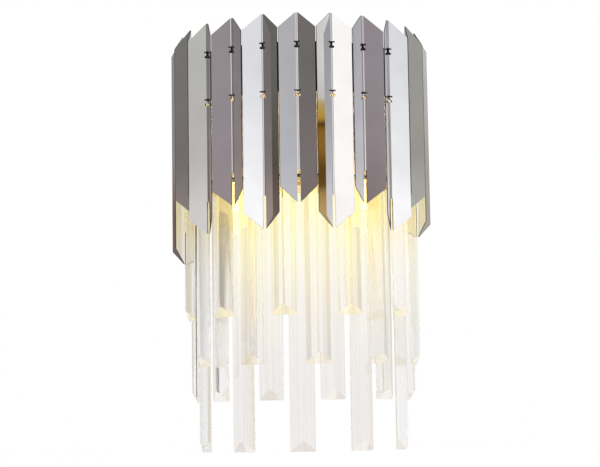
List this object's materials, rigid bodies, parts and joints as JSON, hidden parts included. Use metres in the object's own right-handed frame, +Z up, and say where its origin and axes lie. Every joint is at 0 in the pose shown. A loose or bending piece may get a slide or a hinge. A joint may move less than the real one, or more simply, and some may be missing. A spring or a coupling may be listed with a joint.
{
  "type": "crystal wall sconce",
  "caption": "Half-round wall sconce of mirror-polished V-folded plates over hanging cut-crystal prisms, with candle lamps inside and a slotted wall bracket.",
  "frame": {"origin": "middle of the two wall bolts, on the wall plane", "axes": "+Y into the wall, +X to the viewer's right, +Z up; the front faces -Y"},
  "size_m": [0.2498, 0.1299, 0.4001],
  "materials": {
    "mirror_steel": "mirror polished stainless steel sheet",
    "black_paint": "black satin paint",
    "white_enamel": "white enamel that throws the lamps' light forward and down",
    "crystal": "clear cut crystal glass, polished",
    "zinc_steel": "zinc plated steel",
    "polished_fittings": "chromed steel",
    "brass_fittings": "polished brass",
    "black_rubber": "smooth rubber",
    "white_plastic": "moulded insulating plastic",
    "white_insulation": "smooth cable insulation",
    "green_insulation": "green and yellow cable insulation",
    "cream_holder": "moulded thermoset",
    "bulb_glass": "clear thin glass",
    "filament": "lit yellow filament"
  },
  "bodies": {
    "lamp_body": {"wall_bracket": "zinc_steel", "back_plate": "white_enamel", "canopy_top": "black_paint", "canopy_bottom": "white_enamel", "canopy_wall": "black_paint", "locking_screws": "polished_fittings", "cable_grommet": "black_rubber", "earth_screw": "brass_fittings", "terminal_block": "white_plastic", "terminal_screws": "zinc_steel", "lamp_leads": "white_insulation", "earth_lead": "green_insulation", "half_ring": "black_paint", "hanger_rods": "zinc_steel", "hanger_nuts": "zinc_steel", "cap_nuts": "polished_fittings", "prism_hooks": "brass_fittings", "holder_nipples": "zinc_steel", "nipple_nuts": "zinc_steel", "lamp_holder_left": "cream_holder", "lamp_holder_right": "cream_holder", "socket_shells": "brass_fittings", "bulb_cap_left": "brass_fittings", "bulb_cap_right": "brass_fittings", "bulb_glass_left": "bulb_glass", "bulb_glass_right": "bulb_glass", "bulb_filament_left": "filament", "bulb_filament_right": "filament", "fold_plate_left_5": "mirror_steel", "fold_plate_left_4": "mirror_steel", "fold_plate_left_3": "mirror_steel", "fold_plate_left_2": "mirror_steel", "fold_plate_left_1": "mirror_steel", "fold_plate_centre": "mirror_steel", "fold_plate_right_1": "mirror_steel", "fold_plate_right_2": "mirror_steel", "fold_plate_right_3": "mirror_steel", "fold_plate_right_4": "mirror_steel", "fold_plate_right_5": "mirror_steel"},
    "inner_prism_left_5": {"inner_prism_left_5": "crystal"},
    "inner_prism_left_4": {"inner_prism_left_4": "crystal"},
    "inner_prism_left_3": {"inner_prism_left_3": "crystal"},
    "inner_prism_left_2": {"inner_prism_left_2": "crystal"},
    "inner_prism_left_1": {"inner_prism_left_1": "crystal"},
    "inner_prism_centre": {"inner_prism_centre": "crystal"},
    "inner_prism_right_1": {"inner_prism_right_1": "crystal"},
    "inner_prism_right_2": {"inner_prism_right_2": "crystal"},
    "inner_prism_right_3": {"inner_prism_right_3": "crystal"},
    "inner_prism_right_4": {"inner_prism_right_4": "crystal"},
    "inner_prism_right_5": {"inner_prism_right_5": "crystal"},
    "outer_prism_left_5": {"outer_prism_left_5": "crystal"},
    "outer_prism_left_4": {"outer_prism_left_4": "crystal"},
    "outer_prism_left_3": {"outer_prism_left_3": "crystal"},
    "outer_prism_left_2": {"outer_prism_left_2": "crystal"},
    "outer_prism_left_1": {"outer_prism_left_1": "crystal"},
    "outer_prism_right_1": {"outer_prism_right_1": "crystal"},
    "outer_prism_right_2": {"outer_prism_right_2": "crystal"},
    "outer_prism_right_3": {"outer_prism_right_3": "crystal"},
    "outer_prism_right_4": {"outer_prism_right_4": "crystal"},
    "outer_prism_right_5": {"outer_prism_right_5": "crystal"}
  },
  "joints": [
    {"name": "inner_swing_left_5", "type": "hinge", "parent": "lamp_body", "child": "inner_prism_left_5", "pos_m": [-0.10252, -0.02408, -0.10925], "axis": [-0.9848, -0.1736, 0], "range_deg": [-1, 1]},
    {"name": "inner_swing_left_4", "type": "hinge", "parent": "lamp_body", "child": "inner_prism_left_4", "pos_m": [-0.09356, -0.05163, -0.10925], "axis": [-0.8988, -0.4384, 0], "range_deg": [-1, 1]},
    {"name": "inner_swing_left_3", "type": "hinge", "parent": "lamp_body", "child": "inner_prism_left_3", "pos_m": [-0.07736, -0.07566, -0.10925], "axis": [-0.7431, -0.6691, 0], "range_deg": [-1, 1]},
    {"name": "inner_swing_left_2", "type": "hinge", "parent": "lamp_body", "child": "inner_prism_left_2", "pos_m": [-0.05516, -0.09428, -0.10925], "axis": [-0.5299, -0.848, 0], "range_deg": [-1, 1]},
    {"name": "inner_swing_left_1", "type": "hinge", "parent": "lamp_body", "child": "inner_prism_left_1", "pos_m": [-0.02869, -0.10607, -0.10925], "axis": [-0.2756, -0.9613, 0], "range_deg": [-1, 1]},
    {"name": "inner_swing_centre", "type": "hinge", "parent": "lamp_body", "child": "inner_prism_centre", "pos_m": [0, -0.1101, -0.10925], "axis": [0, -1, 0], "range_deg": [-1, 1]},
    {"name": "inner_swing_right_1", "type": "hinge", "parent": "lamp_body", "child": "inner_prism_right_1", "pos_m": [0.02869, -0.10607, -0.10925], "axis": [0.2756, -0.9613, 0], "range_deg": [-1, 1]},
    {"name": "inner_swing_right_2", "type": "hinge", "parent": "lamp_body", "child": "inner_prism_right_2", "pos_m": [0.05516, -0.09428, -0.10925], "axis": [0.5299, -0.848, 0], "range_deg": [-1, 1]},
    {"name": "inner_swing_right_3", "type": "hinge", "parent": "lamp_body", "child": "inner_prism_right_3", "pos_m": [0.07736, -0.07566, -0.10925], "axis": [0.7431, -0.6691, 0], "range_deg": [-1, 1]},
    {"name": "inner_swing_right_4", "type": "hinge", "parent": "lamp_body", "child": "inner_prism_right_4", "pos_m": [0.09356, -0.05163, -0.10925], "axis": [0.8988, -0.4384, 0], "range_deg": [-1, 1]},
    {"name": "inner_swing_right_5", "type": "hinge", "parent": "lamp_body", "child": "inner_prism_right_5", "pos_m": [0.10252, -0.02408, -0.10925], "axis": [0.9848, -0.1736, 0], "range_deg": [-1, 1]},
    {"name": "outer_swing_left_5", "type": "hinge", "parent": "lamp_body", "child": "outer_prism_left_5", "pos_m": [-0.10709, -0.0408, -0.10925], "axis": [-0.9511, -0.309, 0], "range_deg": [-2.5, 2.5]},
    {"name": "outer_swing_left_4", "type": "hinge", "parent": "lamp_body", "child": "outer_prism_left_4", "pos_m": [-0.09335, -0.06897, -0.10925], "axis": [-0.829, -0.5592, 0], "range_deg": [-2.5, 2.5]},
    {"name": "outer_swing_left_3", "type": "hinge", "parent": "lamp_body", "child": "outer_prism_left_3", "pos_m": [-0.07238, -0.09226, -0.10925], "axis": [-0.6428, -0.766, 0], "range_deg": [-2.5, 2.5]},
    {"name": "outer_swing_left_2", "type": "hinge", "parent": "lamp_body", "child": "outer_prism_left_2", "pos_m": [-0.0458, -0.10887, -0.10925], "axis": [-0.4067, -0.9135, 0], "range_deg": [-2.5, 2.5]},
    {"name": "outer_swing_left_1", "type": "hinge", "parent": "lamp_body", "child": "outer_prism_left_1", "pos_m": [-0.01567, -0.1175, -0.10925], "axis": [-0.1392, -0.9903, 0], "range_deg": [-2.5, 2.5]},
    {"name": "outer_swing_right_1", "type": "hinge", "parent": "lamp_body", "child": "outer_prism_right_1", "pos_m": [0.01567, -0.1175, -0.10925], "axis": [0.1392, -0.9903, 0], "range_deg": [-2.5, 2.5]},
    {"name": "outer_swing_right_2", "type": "hinge", "parent": "lamp_body", "child": "outer_prism_right_2", "pos_m": [0.0458, -0.10887, -0.10925], "axis": [0.4067, -0.9135, 0], "range_deg": [-2.5, 2.5]},
    {"name": "outer_swing_right_3", "type": "hinge", "parent": "lamp_body", "child": "outer_prism_right_3", "pos_m": [0.07238, -0.09226, -0.10925], "axis": [0.6428, -0.766, 0], "range_deg": [-2.5, 2.5]},
    {"name": "outer_swing_right_4", "type": "hinge", "parent": "lamp_body", "child": "outer_prism_right_4", "pos_m": [0.09335, -0.06897, -0.10925], "axis": [0.829, -0.5592, 0], "range_deg": [-2.5, 2.5]},
    {"name": "outer_swing_right_5", "type": "hinge", "parent": "lamp_body", "child": "outer_prism_right_5", "pos_m": [0.10709, -0.0408, -0.10925], "axis": [0.9511, -0.309, 0], "range_deg": [-2.5, 2.5]}
  ]
}
